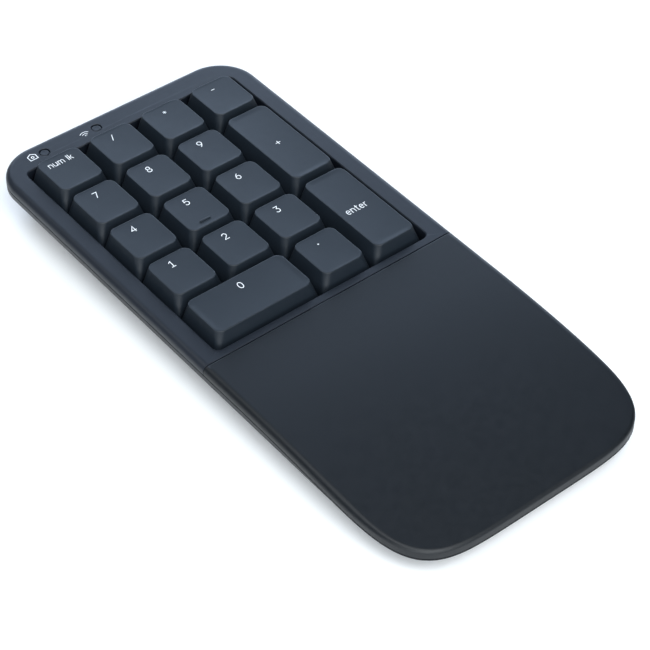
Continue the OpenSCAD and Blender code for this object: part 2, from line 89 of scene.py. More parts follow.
# the battery door and its two hinge pins: radius, and from where to where in x
DOOR_GAP, DOOR_T, DOOR_R, DOOR_BREAK, DOOR_LIP = 0.2, 1.1, 0.9, 0.2, 0.35
PINS = ((0.75, 27.8, 28.8), (0.5, 28.2, 30.1))

# the foot pockets: how much wider than a foot, and how far up into the floor above its top
POCKET_GAP, POCKET_DEPTH = 0.12, 0.35

# columns count from the left and rows from the back; a size is in single keys
Key = namedtuple("Key", "name column row width depth")
KEYS = [Key(*values) for values in (
    ("num_lock", 0, 0, 1, 1), ("divide", 1, 0, 1, 1), ("multiply", 2, 0, 1, 1), ("minus", 3, 0, 1, 1),
    ("7", 0, 1, 1, 1), ("8", 1, 1, 1, 1), ("9", 2, 1, 1, 1), ("plus", 3, 1, 1, 2),
    ("4", 0, 2, 1, 1), ("5", 1, 2, 1, 1), ("6", 2, 2, 1, 1),
    ("1", 0, 3, 1, 1), ("2", 1, 3, 1, 1), ("3", 2, 3, 1, 1), ("enter", 3, 3, 1, 2),
    ("0", 0, 4, 2, 1), ("decimal", 2, 4, 1, 1),
)]

# ---- what this script adds: broken edges, dishes and ink, in mm, and steps in curves ----------
FRONT_EDGE, EDGE_TIGHTENS, EDGE_TIGHTENS_OVER = 0.5, 108, 24
RIM_BREAK, PALM_SEAM_R, CASE_SEAM_R = 0.12, 0.35, 0.2
WELL_CHAMFER, WINDOW_CHAMFER, SIDE_BOW = 0.28, 0.12, 0.35
CAP_RIM, CAP_TOP_R, CAP_BASE_R, DISH = 0.3, 2.5, 1.2, 0.16
INK_T, LETTER_GAP, X_HEIGHT = 0.05, 0.52, 1.5
CORNER_STEPS, SEGMENTS = 90, 48

DECK = Matrix.Translation((0, FIELD_Y, DECK_H)) @ Matrix.Rotation(math.radians(TILT), 4, "X")
TO_DECK = DECK.inverted()
TABLE = Matrix.Identity(4)
METRES = Matrix.Scale(0.001, 4)
WELD = 1e-7
ROOT = "case"


def key_centre(key):
    return (key.column + key.width / 2 - 2) * PITCH, (2.5 - key.row - key.depth / 2) * PITCH


def key_growth(key):
    """How much further a key reaches each way from its middle than a single key does."""
    return (key.width - 1) * PITCH / 2, (key.depth - 1) * PITCH / 2


def drop(y):
    """How far the palm rest has curved down from the deck at this y."""
    return max(0.0, -y - SLOPE_Y) ** 2 / (2 * SLOPE_R)


# ---- materials -------------------------------------------------------------------------------

def node_tree(name):
    mat = bpy.data.materials.new(name)
    mat.use_nodes = True
    tree = mat.node_tree
    shader = tree.nodes["Principled BSDF"]
    coords = tree.nodes.new("ShaderNodeTexCoord")
    return mat, tree, shader, coords.outputs["Object"]


def noise(tree, coords, scale, detail=3.0):
    n = tree.nodes.new("ShaderNodeTexNoise")
    n.inputs["Scale"].default_value = scale
    n.inputs["Detail"].default_value = detail
    n.inputs["Roughness"].default_value = 0.55
    tree.links.new(coords, n.inputs["Vector"])
    return n.outputs["Fac"]


def remap(tree, value, low, high, lo_in=0.3, hi_in=0.7):
    n = tree.nodes.new("ShaderNodeMapRange")
    n.inputs["From Min"].default_value = lo_in
    n.inputs["From Max"].default_value = hi_in
    n.inputs["To Min"].default_value = low
    n.inputs["To Max"].default_value = high
    tree.links.new(value, n.inputs["Value"])
    return n.outputs["Result"]


def ramp(tree, value, dark, light, low=0.3, high=0.7):
    n = tree.nodes.new("ShaderNodeValToRGB")
    n.color_ramp.elements[0].position = low
    n.color_ramp.elements[0].color = (*dark, 1)
    n.color_ramp.elements[1].position = high
    n.color_ramp.elements[1].color = (*light, 1)
    tree.links.new(value, n.inputs["Fac"])
    return n.outputs["Color"]


def bump(tree, shader, height, strength, distance):
    n = tree.nodes.new("ShaderNodeBump")
    n.inputs["Strength"].default_value = strength
    n.inputs["Distance"].default_value = distance
    tree.links.new(height, n.inputs["Height"])
    tree.links.new(n.outputs["Normal"], shader.inputs["Normal"])


def surface(name, dark, light, rough, depth=0.2, specular=0.5, grain=5200, subsurface=0.0, transmission=0.0):
    """A moulded surface: cloudy colour, uneven gloss and a fine grain."""
    mat, tree, shader, coords = node_tree(name)
    clouds = noise(tree, coords, 60, 4)
    tree.links.new(ramp(tree, clouds, dark, light), shader.inputs["Base Color"])
    fine = noise(tree, coords, grain, 2)
    tree.links.new(remap(tree, noise(tree, coords, 420, 3), *rough), shader.inputs["Roughness"])
    bump(tree, shader, fine, depth, 0.00002)
    shader.inputs["Specular IOR Level"].default_value = specular
    shader.inputs["Subsurface Weight"].default_value = subsurface
    shader.inputs["Subsurface Radius"].default_value = (0.002, 0.002, 0.002)
    shader.inputs["Transmission Weight"].default_value = transmission
    return mat


def brushed(name, dark, light, rough, stretch):
    """Rolled or drawn metal, streaked along one axis."""
    mat, tree, shader, coords = node_tree(name)
    mapping = tree.nodes.new("ShaderNodeMapping")
    mapping.inputs["Scale"].default_value = stretch
    tree.links.new(coords, mapping.inputs["Vector"])
    streaks = noise(tree, mapping.outputs["Vector"], 900, 4)
    tree.links.new(ramp(tree, streaks, dark, light), shader.inputs["Base Color"])
    tree.links.new(remap(tree, streaks, *rough), shader.inputs["Roughness"])
    bump(tree, shader, streaks, 0.15, 0.00001)
    shader.inputs["Metallic"].default_value = 1.0
    return mat


def board_mask(name):
    """Green solder mask over copper tracks."""
    mat, tree, shader, coords = node_tree(name)
    tracks = tree.nodes.new("ShaderNodeTexBrick")
    tracks.inputs["Scale"].default_value = 320
    tracks.inputs["Mortar Size"].default_value = 0.06
    tracks.inputs["Color1"].default_value = (0.012, 0.085, 0.035, 1)
    tracks.inputs["Color2"].default_value = (0.016, 0.105, 0.045, 1)
    tracks.inputs["Mortar"].default_value = (0.03, 0.17, 0.07, 1)
    tree.links.new(coords, tracks.inputs["Vector"])
    tree.links.new(tracks.outputs["Color"], shader.inputs["Base Color"])
    tree.links.new(remap(tree, noise(tree, coords, 700), 0.25, 0.4), shader.inputs["Roughness"])
    bump(tree, shader, tracks.outputs["Fac"], 0.2, 0.00003)
    return mat


def film(name):
    """Pale polyester with darker printed tracks."""
    mat, tree, shader, coords = node_tree(name)
    wave = tree.nodes.new("ShaderNodeTexWave")
    wave.inputs["Scale"].default_value = 190
    wave.inputs["Distortion"].default_value = 1.5
    wave.inputs["Detail Scale"].default_value = 2
    tree.links.new(coords, wave.inputs["Vector"])
    colour = ramp(tree, wave.outputs["Fac"], (0.62, 0.64, 0.60), (0.30, 0.31, 0.32), 0.78, 0.84)
    tree.links.new(colour, shader.inputs["Base Color"])
    tree.links.new(remap(tree, noise(tree, coords, 300), 0.18, 0.3), shader.inputs["Roughness"])
    bump(tree, shader, wave.outputs["Fac"], 0.1, 0.00002)
    return mat


def jacket(name, half_length):
    """A cell's printed jacket: plain, in two tones that meet near one end."""
    mat, tree, shader, coords = node_tree(name)
    split = tree.nodes.new("ShaderNodeSeparateXYZ")
    tree.links.new(coords, split.inputs["Vector"])
    band = remap(tree, split.outputs["X"], 0, 1, -half_length, half_length)
    colour = ramp(tree, band, (0.55, 0.56, 0.57), (0.03, 0.07, 0.16), 0.04, 0.05)
    tree.links.new(colour, shader.inputs["Base Color"])
    tree.links.new(remap(tree, noise(tree, coords, 900), 0.22, 0.34), shader.inputs["Roughness"])
    bump(tree, shader, noise(tree, coords, 2500), 0.1, 0.00001)
    shader.inputs["Metallic"].default_value = 0.35
    return mat


SATIN = dict(rough=(0.43, 0.49), depth=0.3, specular=0.4)
CASE = surface("satin_slate_case", (0.0072, 0.0105, 0.0172), (0.0079, 0.0114, 0.0186), **SATIN)
PALM = surface("satin_slate_palm", (0.0017, 0.0034, 0.0058), (0.0020, 0.0038, 0.0066), **SATIN)
# the lower shell, its ribs and the battery door are the case's plastic; their darker base colour is painted
# shade
SHADED_LOWER = surface("satin_slate_lower", (0.0036, 0.0056, 0.0090), (0.0042, 0.0064, 0.0102), **SATIN)
KEYTOP = surface("satin_slate_keys", (0.0091, 0.0140, 0.0208), (0.0099, 0.0152, 0.0224), **SATIN)
LEGEND = surface("white_legend_ink", (0.81, 0.84, 0.87), (0.87, 0.90, 0.93), (0.45, 0.55),
                 depth=0.05, specular=0.2)
WINDOW = surface("smoked_window", (0.0076, 0.0112, 0.0182), (0.0084, 0.0122, 0.0198), (0.36, 0.42),
                 depth=0.05, specular=0.4)
BLACK = surface("moulded_black", (0.010, 0.011, 0.012), (0.014, 0.015, 0.017), (0.5, 0.62), specular=0.3)
RUBBER = surface("foot_rubber", (0.012, 0.012, 0.013), (0.018, 0.018, 0.019), (0.7, 0.85),
                 depth=0.35, grain=3000)
SILICONE = surface("dome_silicone", (0.55, 0.57, 0.57), (0.62, 0.64, 0.64), (0.35, 0.5), subsurface=0.3)
STEEL = brushed("zinc_plated_steel", (0.45, 0.46, 0.47), (0.58, 0.59, 0.60), (0.28, 0.42), (1, 9, 1))
WIRE = brushed("drawn_wire", (0.52, 0.53, 0.54), (0.66, 0.67, 0.68), (0.2, 0.3), (4, 1, 4))
NICKEL = brushed("nickel_contact", (0.60, 0.58, 0.54), (0.74, 0.72, 0.68), (0.16, 0.26), (2, 2, 2))
BOARD = board_mask("green_board")
FILM = film("printed_film")
CELL = jacket("cell_jacket", 0.0225)
LED = surface("led_lens", (0.62, 0.68, 0.55), (0.72, 0.78, 0.64), (0.12, 0.2), depth=0.03, transmission=0.3)


# ---- mesh helpers ----------------------------------------------------------------------------

def solid_mesh(name, verts, faces, matrix):
    """A closed mesh in metres, from millimetre points in this matrix's frame."""
    mesh = bpy.data.meshes.new(name)
    to_row = METRES @ matrix
    mesh.from_pydata([to_row @ Vector(v) for v in verts], [], faces)
    mesh.validate()
    bm = bmesh.new()
    bm.from_mesh(mesh)
    bmesh.ops.remove_doubles(bm, verts=bm.verts, dist=WELD)
    bmesh.ops.recalc_face_normals(bm, faces=bm.faces)
    bm.to_mesh(mesh)
    bm.free()
    return mesh


def shade(mesh, sharp=32):
    """Smooth shading, broken at edges that turn by more than this angle."""
    mesh.polygons.foreach_set("use_smooth", [True] * len(mesh.polygons))
    mesh.set_sharp_from_angle(angle=math.radians(sharp))


def piece(name, verts, faces, mat, slot, body=ROOT, replaces=(), matrix=DECK, sharp=32):
    """A closed mesh from millimetre points in this matrix's frame, riding on a body."""
    mesh = solid_mesh(name, verts, faces, matrix)
    shade(mesh, sharp)
    mesh.materials.append(mat)
    obj = bpy.data.objects.new(name, mesh)
    bpy.context.scene.collection.objects.link(obj)
    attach(obj, body)
    if replaces:
        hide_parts(*replaces)
    return obj


def boolean(obj, parts, operation):
    """Adds or takes away closed solids, given as (verts, faces, matrix) in mm, and keeps the result."""
    for part in parts:
        mesh = solid_mesh("tool", *part)
        tool = bpy.data.objects.new("tool", mesh)
        bpy.context.scene.collection.objects.link(tool)
        mod = obj.modifiers.new("cut", "BOOLEAN")
        mod.operation = operation
        mod.solver = "EXACT"
        mod.object = tool
        depsgraph = bpy.context.evaluated_depsgraph_get()
        result = bpy.data.meshes.new_from_object(obj.evaluated_get(depsgraph))
        obj.modifiers.clear()
        old = obj.data
        obj.data = result
        result.name = old.name
        bpy.data.meshes.remove(old)
        bpy.data.objects.remove(tool)
        bpy.data.meshes.remove(mesh)


def stack(rings, closed_loop=True):
    """Quads between neighbouring rings of equal length; with closed_loop the last joins the first."""
    n = len(rings[0])
    verts = [p for ring in rings for p in ring]
    count = len(rings)
    faces = []
    for i in range(count if closed_loop else count - 1):
        a, b = i * n, ((i + 1) % count) * n
        for j in range(n):
            k = (j + 1) % n
            faces.append((a + j, a + k, b + k, b + j))
    return verts, faces


def cap(faces, ring, n):
    """Closes a ring with one flat face."""
    faces.append(tuple(range(ring * n, (ring + 1) * n)))


def fan(verts, faces, ring, n, tip):
    """Closes a ring with triangles to one point."""
    verts.append(tip)
    start, t = ring * n, len(verts) - 1
    faces.extend((start + j, start + (j + 1) % n, t) for j in range(n))


def rungs(faces, ring, n):
    """Closes a ring that is symmetric about x = 0 with strips from side to side."""
    start = ring * n
    for j in range(n // 2 - 1):
        a, b = start + j, start + j + 1
        c, d = start + n - 2 - j, start + n - 1 - j
        faces.append((a, b, c, d) if b != c else (a, b, d))


def shell(outer, inner):
    """A hollow shell from its outer rings, rim first, and its inner rings, rim first."""
    n = len(outer[0])
    verts, faces = stack(list(reversed(outer)) + inner, closed_loop=False)
    rungs(faces, 0, n)
    rungs(faces, len(outer) + len(inner) - 1, n)
    return verts, faces


def arc(cx, cy, rx, ry, start, end, steps=14):
    """Points along an oval arc, between two angles in degrees."""
    turns = [math.radians(start + (end - start) * i / steps) for i in range(steps + 1)]
    return [(cx + rx * math.cos(t), cy + ry * math.sin(t)) for t in turns]


def round_plan(half_x, half_y, r, cx=0.0, cy=0.0, steps=8):
    """A rounded rectangle's points, counter-clockwise from the middle of the right side."""
    pts = [(half_x, 0.0)]
    signs = ((1, 1), (-1, 1), (-1, -1), (1, -1))
    middles = ([(0.0, half_y)], [(-half_x, 0.0)], [(0.0, -half_y)], [])
    for k, (sx, sy) in enumerate(signs):
        pts += arc(sx * (half_x - r), sy * (half_y - r), r, r, 90 * k, 90 * k + 90, steps) + middles[k]
    return [(x + cx, y + cy) for x, y in pts]


def circle(x, y, r, n=SEGMENTS):
    turns = [2 * math.pi * i / n for i in range(n)]
    return [(x + r * math.cos(t), y + r * math.sin(t)) for t in turns]


def at(plan, z):
    return [(x, y, z) for x, y in plan]


def block(x0, x1, y0, y1, z0, z1):
    return prism([(x0, y0), (x1, y0), (x1, y1), (x0, y1)], z0, z1)


def prism(plan, z0, z1):
    n = len(plan)
    verts = at(plan, z0) + at(plan, z1)
    faces = [tuple(range(n))[::-1], tuple(range(n, 2 * n))]
    faces += [(i, (i + 1) % n, n + (i + 1) % n, n + i) for i in range(n)]
    return verts, faces


def cylinder(x, y, r, z0, z1, n=32):
    return prism(circle(x, y, r, n), z0, z1)


def merge(*parts):
    verts, faces = [], []
    for v, f in parts:
        base = len(verts)
        verts += list(v)
        faces += [tuple(i + base for i in face) for face in f]
    return verts, faces


# ---- shells ----------------------------------------------------------------------------------

def corner_curve(inset):
    """The palm rest's side and front from the left seam end to the right, as one plan line."""
    a, b = BODY_W / 2 - inset, PALM_B - inset
    p = CORNER_POWER
    half = []
    for i in range(CORNER_STEPS + 1):
        t = math.radians(90 * i / CORNER_STEPS)
        # a point of the plain oval, pushed out by d to the squarer superellipse
        c, s = math.cos(t) * a, math.sin(t) * b
        d = (abs(c / a) ** p + abs(s / b) ** p) ** (-1 / p)
        half.append((-c * d, -TAPER_Y - s * d))
    return half + [(-x, y) for x, y in reversed(half[:-1])]


def palm_plan(inset, seam, steps=16):
    """A closed plan: back left corner, round the front, back right corner."""
    a = BODY_W / 2 - inset
    side = [seam - (seam + TAPER_Y) * i / steps for i in range(steps)]
    return [(-a, y) for y in side] + corner_curve(inset) + [(a, y) for y in reversed(side)]


def fillet(r, steps=9):
    """(inset, down) pairs from the side wall up and over to the flat."""
    turns = [math.radians(90 - 90 * i / steps) for i in range(steps + 1)]
    return [(r * (1 - math.sin(t)), r * (1 - math.cos(t))) for t in turns]


def seam_break(down, r):
    """How far a seam's edge has rolled back at this depth below the surface."""
    return r - math.sqrt(r * r - (r - down) ** 2) if down < r else 0.0


def draped(plan, down):
    """A plan laid along the palm rest's curve, this far below its surface."""
    return [(x, y, -drop(y) - down) for x, y in plan]


def edge_share(y):
    """The palm rest's edge tightens towards the front: 1 at the sides, FRONT_EDGE at the front."""
    t = min(max((-y - EDGE_TIGHTENS) / EDGE_TIGHTENS_OVER, 0.0), 1.0)
    return 1 - (1 - FRONT_EDGE) * t * t * (3 - 2 * t)


def palm_rest():
    rim = SIDE_H - SEAM_GAP / 2
    edge = -SEAM_Y - SEAM_GAP / 2
    wall_plan = palm_plan(0.0, edge)
    outer = [draped(palm_plan(RIM_BREAK, edge), rim), draped(wall_plan, rim - RIM_BREAK)]
    for inset, down in fillet(EDGE_R) + [(EDGE_R + 0.2, 0.0)]:
        ring = []
        rolled = palm_plan(inset, edge - seam_break(down, PALM_SEAM_R))
        for (x0, y0), (x1, y1) in zip(wall_plan, rolled):
            share = edge_share(y0)
            x, y = x0 + (x1 - x0) * share, y0 + (y1 - y0) * share
            ring.append((x, y, -drop(y) - down * share))
        outer.append(ring)
    outer[-1] = [(x, min(y, edge - 0.5), z) for x, y, z in outer[-1]]
    # the inside stops short of the seam by 1.4, and its top corner is cut at 45 degrees
    levels = ((WALL, rim, 1.4), (WALL, COVER_T + 1, 1.4), (WALL + 1, COVER_T, 2.4))
    inner = [draped(palm_plan(inset, edge - back), down) for inset, down, back in levels]
    verts, faces = shell(outer, inner)
    piece("palm_rest_shell", verts, faces, PALM, "palm_rest", replaces=["palm_rest_cover"])


def case_plan(inset, seam, steps=12):
    """The top case's closed plan: front right corner, round the back, front left corner."""
    a, r = BODY_W / 2 - inset, CORNER_R - inset
    cx, cy = a - r, BACK_Y - inset - r
    right = [(a, seam + (cy - seam) * i / steps) for i in range(steps)]
    right += arc(cx, cy, r, r, 0, 90, 30)
    return right + [(-x, y) for x, y in reversed(right)]


def well_block(levels):
    """The key well's plan, grown by each level's first number, as one closed solid."""
    rings = [at(round_plan(WELL_X + g, WELL_Y + g, WELL_R + g, steps=12), z) for g, z in levels]
    n = len(rings[0])
    verts, faces = stack(rings, closed_loop=False)
    cap(faces, 0, n)
    cap(faces, len(rings) - 1, n)
    return verts, faces, DECK


def window_hole(x):
    """A window's hole through the top case, with a small chamfer."""
    levels = ((0, -4), (0, -WINDOW_CHAMFER), (WINDOW_CHAMFER, 0), (WINDOW_CHAMFER + 1, 1))
    rings = [at(circle(x, WINDOW_Y, WINDOW_R + g), z) for g, z in levels]
    verts, faces = stack(rings, closed_loop=False)
    cap(faces, 0, SEGMENTS)
    cap(faces, len(rings) - 1, SEGMENTS)
    return verts, faces, DECK


def top_case():
    rim = SIDE_H - SEAM_GAP / 2
    edge = -SEAM_Y + SEAM_GAP / 2
    outer = [at(case_plan(RIM_BREAK, edge), -rim), at(case_plan(0.0, edge), RIM_BREAK - rim)]
    for inset, down in fillet(EDGE_R):
        outer.append(at(case_plan(inset, edge + seam_break(down, CASE_SEAM_R)), -down))
    outer.append(at(case_plan(EDGE_R + 0.2, edge + 0.3), 0.0))
    # the inside stops short of the seam by 3.1, and its top corner is cut at 45 degrees
    levels = ((WALL, -rim), (WALL, -SKIN_T - 0.8), (WALL + 0.8, -SKIN_T))
    inner = [at(case_plan(inset, edge + 3.1), z) for inset, z in levels]
    verts, faces = shell(outer, inner)
    obj = piece("top_case_shell", verts, faces, CASE, "case_top", replaces=["top_case"])
    boolean(obj, [well_block([(0.8, WELL_BOTTOM), (0.8, -0.5)])], "UNION")
    well = [(0.0, WELL_BOTTOM - 1), (0.0, -WELL_CHAMFER), (WELL_CHAMFER, 0.0), (WELL_CHAMFER + 1, 1.0)]
    boolean(obj, [well_block(well)] + [window_hole(x) for x in WINDOW_XS], "DIFFERENCE")
    shade(obj.data)


def whole_plan(inset):
    """The lower shell's closed plan: the back, both sides and the front."""
    a, r = BODY_W / 2 - inset, CORNER_R - inset
    cx, cy = a - r, BACK_Y - inset - r
    turns = [math.radians(90 * i / 24) for i in range(25)]
    back = [(-cx - r * math.sin(t), cy + r * math.cos(t)) for t in turns]
    side = [(-a, cy + (-TAPER_Y - cy) * i / 30) for i in range(1, 30)]
    left = back + side + corner_curve(inset)[:CORNER_STEPS + 1]
    return left + [(-x, y) for x, y in reversed(left[:-1])]


def tub_rings(inset, lift):
    """From the seam down the rim and a gently bowed side to the flat base, in the deck's frame."""
    top = [(x, y, -drop(y) - SIDE_H - SEAM_GAP / 2) for x, y in whole_plan(inset)]
    rim_bottom = -SIDE_H - RIM_H + lift
    low = [(x, y, min(rim_bottom, z - 0.25)) for x, y, z in top]
    base = [TO_DECK @ Vector((x, y + FIELD_Y, FOOT_H + lift)) for x, y in whole_plan(inset + TUCK)]
    rings = [top, low]
    for f in (0.2, 0.4, 0.6, 0.75, 0.87, 0.95, 1.0):
        bow = SIDE_BOW * math.sin(math.pi * f)
        mixed = [Vector(p).lerp(q, f) for p, q in zip(low, base)]
        rings.append([(v.x, v.y, v.z - bow) for v in mixed])
    return rings


def bottom_case():
    outer = tub_rings(0.0, 0.0)
    inner = tub_rings(WALL, FLOOR_T)
    verts, faces = shell(outer, inner)
    obj = piece("bottom_case_shell", verts, faces, SHADED_LOWER, "case_bottom", replaces=["bottom_case"])
    door_plan = round_plan(BAY_X - DOORWAY_INSET, BAY_HALF, DOORWAY_R, cy=BAY_Y + FIELD_Y)
    doorway = prism(door_plan, 0, DOORWAY_TOP)
    slot_x, slot_y = (POWER_X - SLOT_LEFT, POWER_X + SLOT_RIGHT), (PCB_Y - SLOT_HALF, PCB_Y + SLOT_HALF)
    slot = block(*slot_x, *slot_y, *THROUGH_FLOOR)
    button_hole = cylinder(CONNECT_X, PCB_Y, BUTTON_HOLE_R, *THROUGH_FLOOR)
    pocket_r, pocket_top = FOOT_R + POCKET_GAP, FOOT_H + POCKET_DEPTH
    foot_pockets = merge(*[cylinder(x, y + FIELD_Y, pocket_r, 0, pocket_top, SEGMENTS) for x, y in FEET])
    head_holes = merge(*[cylinder(x, y, HEAD_HOLE_R, BELOW_CASE, SCREW_SEAT + z) for x, y, z in SCREWS])
    cuts = [(*doorway, TABLE), (*slot, DECK), (*button_hole, DECK)]
    cuts += [(*foot_pockets, TABLE), (*head_holes, DECK)]
    boolean(obj, cuts, "DIFFERENCE")
    shade(obj.data)


def bay_ribs():
    """The battery bay's walls, and the posts and bosses that stand on the floor."""
    outer = round_plan(BAY_X + BAY_WALL_X, BAY_HALF + BAY_WALL_Y, BAY_OUTER_R, cy=BAY_Y)
    inner = round_plan(BAY_X, BAY_HALF, BAY_INNER_R, cy=BAY_Y)
    parts = [stack([at(outer, BAY_BOTTOM), at(outer, BAY_TOP), at(inner, BAY_TOP), at(inner, BAY_BOTTOM)])]
    for x in (-GUIDE_POST_X, 0, GUIDE_POST_X):
        for y in (-GUIDE_POST_Y, 0, GUIDE_POST_Y):
            parts.append(cylinder(x, y, GUIDE_POST_R, FLOOR_Z - y * FLOOR_RISE, GUIDE_POST_TOP, 24))
    board_bottom = PCB_TOP - PCB_T
    for x in (-BOARD_POST_X, BOARD_POST_X):
        for y in BOARD_POST_YS:
            parts.append(cylinder(x, y, BOARD_POST_R, BOARD_POST_BOTTOM, board_bottom - 0.05, 24))
            parts.append(cylinder(x, y, BOARD_PIN_R, board_bottom - 0.5, PCB_TOP + 0.4, 24))
    profile = ((BOSS_R, BOSS_BOTTOM), (BOSS_R, BOSS_TOP), (BOSS_BORE, BOSS_TOP), (BOSS_BORE, BOSS_BOTTOM))
    for x, y, z in SCREWS:
        parts.append(stack([at(circle(x, y, r, 40), h + z) for r, h in profile]))
    verts, faces = merge(*parts)
    piece("bottom_case_ribs", verts, faces, SHADED_LOWER, "case_bottom")


# ---- keys ------------------------------------------------------------------------------------

def cap_plan(key, half_x, half_y, back, r):
    """A key's plan for a single key's half sizes, made longer for a double key."""
    cx, cy = key_centre(key)
    more_x, more_y = key_growth(key)
    return round_plan(half_x + more_x, half_y + more_y, r, cx, cy + back)


def top_plan(key, inset):
    return cap_plan(key, TOP_W / 2 - inset, TOP_D / 2 - inset, TOP_BACK, CAP_TOP_R - inset)


def dish(key, x, y):
    """How far a point of a key's top lies below its rim."""
    cx, cy = key_centre(key)
    more_x, more_y = key_growth(key)
    u = (x - cx) / (TOP_W / 2 + more_x)
    v = (y - cy - TOP_BACK) / (TOP_D / 2 + more_y)
    if key.width == key.depth:
        return DISH * max(0.0, 1 - u * u) * max(0.0, 1 - v * v) ** 0.5
    across = u if key.width == 1 else v
    return DISH * max(0.0, 1 - across ** 2)


def cap_outside(key, bottom):
    """Rings up a keycap's flanks, over its rim and in across its dished top."""
    cx, cy = key_centre(key)
    half_base = BASE_W / 2
    rings = [at(cap_plan(key, half_base - 0.1, half_base - 0.1, 0, CAP_BASE_R - 0.1), bottom)]
    for f in (0.02, 0.35, 0.7, 1.0):
        half_x = half_base + (TOP_W / 2 - half_base) * f
        half_y = half_base + (TOP_D / 2 - half_base) * f
        r = CAP_BASE_R + (CAP_TOP_R - CAP_BASE_R) * f
        low, high = bottom + 0.02, KEY_PROUD - CAP_RIM
        rings.append(at(cap_plan(key, half_x, half_y, TOP_BACK * f, r), low + (high - low) * f))
    for i in range(1, 5):
        t = math.radians(90 * i / 4)
        inset = CAP_RIM * (1 - math.cos(t)) * 0.9
        rings.append(at(top_plan(key, inset), KEY_PROUD - CAP_RIM + CAP_RIM * math.sin(t)))
    top_y = cy + TOP_BACK
    edge = top_plan(key, CAP_RIM * 0.9)
    for s in (0.97, 0.88, 0.72, 0.5, 0.25):
        plan = [(cx + (x - cx) * s, top_y + (y - top_y) * s) for x, y in edge]
        rings.append([(x, y, KEY_PROUD - dish(key, x, y)) for x, y in plan])
    return rings


def cap_inside(key, bottom):
    """Rings up inside a keycap and down its stem."""
    cx, cy = key_centre(key)
    half = BASE_W / 2 - CAP_T
    ceiling = cap_plan(key, TOP_W / 2 - 1, TOP_D / 2 - 1, TOP_BACK, 1.6)
    angles = [math.atan2(y - cy, x - cx) for x, y in ceiling]
    stem = [(cx + STEM_R * math.cos(a), cy + STEM_R * math.sin(a)) for a in angles]
    stem_tip = [(cx + (x - cx) * 0.89, cy + (y - cy) * 0.89) for x, y in stem]
    return [at(cap_plan(key, half, half, 0, 0.6), bottom), at(ceiling, CAP_CEILING), at(stem, CAP_CEILING),
            at(stem, STEM_BOTTOM + 0.3), at(stem_tip, STEM_BOTTOM)]


def keycap(key):
    cx, cy = key_centre(key)
    name = key.name
    bottom = KEY_PROUD - CAP_H
    rings = list(reversed(cap_outside(key, bottom))) + cap_inside(key, bottom)
    n = len(rings[0])
    verts, faces = stack(rings, closed_loop=False)
    top_y = cy + TOP_BACK
    fan(verts, faces, 0, n, (cx, top_y, KEY_PROUD - dish(key, cx, top_y)))
    fan(verts, faces, len(rings) - 1, n, (cx, cy, STEM_BOTTOM))
    parts = [(verts, faces)]
    if name == "5":
        parts.append(tactile_bar(cx - 0.8, cy - 4.8))
    piece("keycap_" + name, *merge(*parts), KEYTOP, "keycap", "key_" + name, ["key_" + name], sharp=40)


def tactile_bar(x, y):
    """The raised bar on the 5: half length, half width and height at each level."""
    levels = [(1.95, 0.42, -0.3), (1.95, 0.42, 0.12), (1.88, 0.36, 0.28), (1.7, 0.2, 0.36)]
    floor = KEY_PROUD - 0.12
    rings = [at(round_plan(a, b, b * 0.98, x, y, steps=6), floor + z) for a, b, z in levels]
    n = len(rings[0])
    verts, faces = stack(rings, closed_loop=False)
    cap(faces, 0, n)
    fan(verts, faces, len(rings) - 1, n, (x, y, floor + 0.38))
    return verts, faces


# radius and height below the dome's top, from the inside down, out round the foot and back up
DOME_PROFILE = [(0.4, -0.9), (2.0, -0.9), (2.5, -1.2), (3.3, -2.4), (3.9, -3.2), (5.15, -3.2),
                (5.2, -2.95), (5.1, -2.8), (4.4, -2.75), (4.15, -2.6), (3.4, -1.6), (2.75, -0.75),
                (2.55, -0.15), (2.4, 0), (0.4, 0)]


def dome(key):
    cx, cy = key_centre(key)
    name = key.name
    verts, faces = stack([at(circle(cx, cy, r, 32), DOME_TOP + z) for r, z in DOME_PROFILE])
    obj = piece("silicone_dome_" + name, verts, faces, SILICONE, "silicone", ROOT, ["dome_" + name])
    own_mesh(obj)


# ---- legends ---------------------------------------------------------------------------------
# A stroke is (points, closed). Figures are 2.4 mm tall, about their own middle.

def line(*points):
    return list(points), False


def loop(cx, cy, rx, ry, steps, start=0):
    return arc(cx, cy, rx, ry, start, start + 360, steps)[:-1], True


SIGNS = {
    "0": [loop(0, 0, 0.72, 1.2, 28, start=90)],
    "1": [line((-0.55, 0.72), (0.1, 1.2), (0.1, -1.2)), line((-0.55, -1.2), (0.72, -1.2))],
    "2": [line(*arc(0, 0.5, 0.68, 0.7, 165, -35), (-0.7, -1.2), (0.78, -1.2))],
    "3": [line((-0.62, 1.2), (0.66, 1.2), (-0.02, 0.3), *arc(-0.02, -0.45, 0.74, 0.75, 78, -150, 16))],
    "4": [line((0.35, -1.2), (0.35, 1.2), (-0.8, -0.55), (0.82, -0.55))],
    "5": [line((0.62, 1.2), (-0.5, 1.2), (-0.6, 0.12), *arc(-0.02, -0.42, 0.74, 0.78, 135, -150, 18))],
    "6": [loop(0, -0.45, 0.72, 0.75, 24), line((-0.68, -0.2), (-0.35, 0.55), (0.25, 1.2))],
    "7": [line((-0.7, 1.2), (0.72, 1.2), (-0.25, -1.2))],
    "8": [loop(0, 0.6, 0.58, 0.6, 22), loop(0, -0.58, 0.72, 0.62, 24)],
    "9": [loop(0, 0.45, 0.72, 0.75, 24), line((0.68, 0.2), (0.35, -0.55), (-0.25, -1.2))],
    "divide": [line((-0.5, -1.2), (0.5, 1.2))],
    "multiply": [line(*arc(0, 0, 0.58, 0.58, a, a + 180, 1)) for a in (30, 90, 150)],
    "minus": [line((-0.55, 0), (0.55, 0))],
    "plus": [line((-0.75, 0), (0.75, 0)), line((0, -0.75), (0, 0.75))],
}

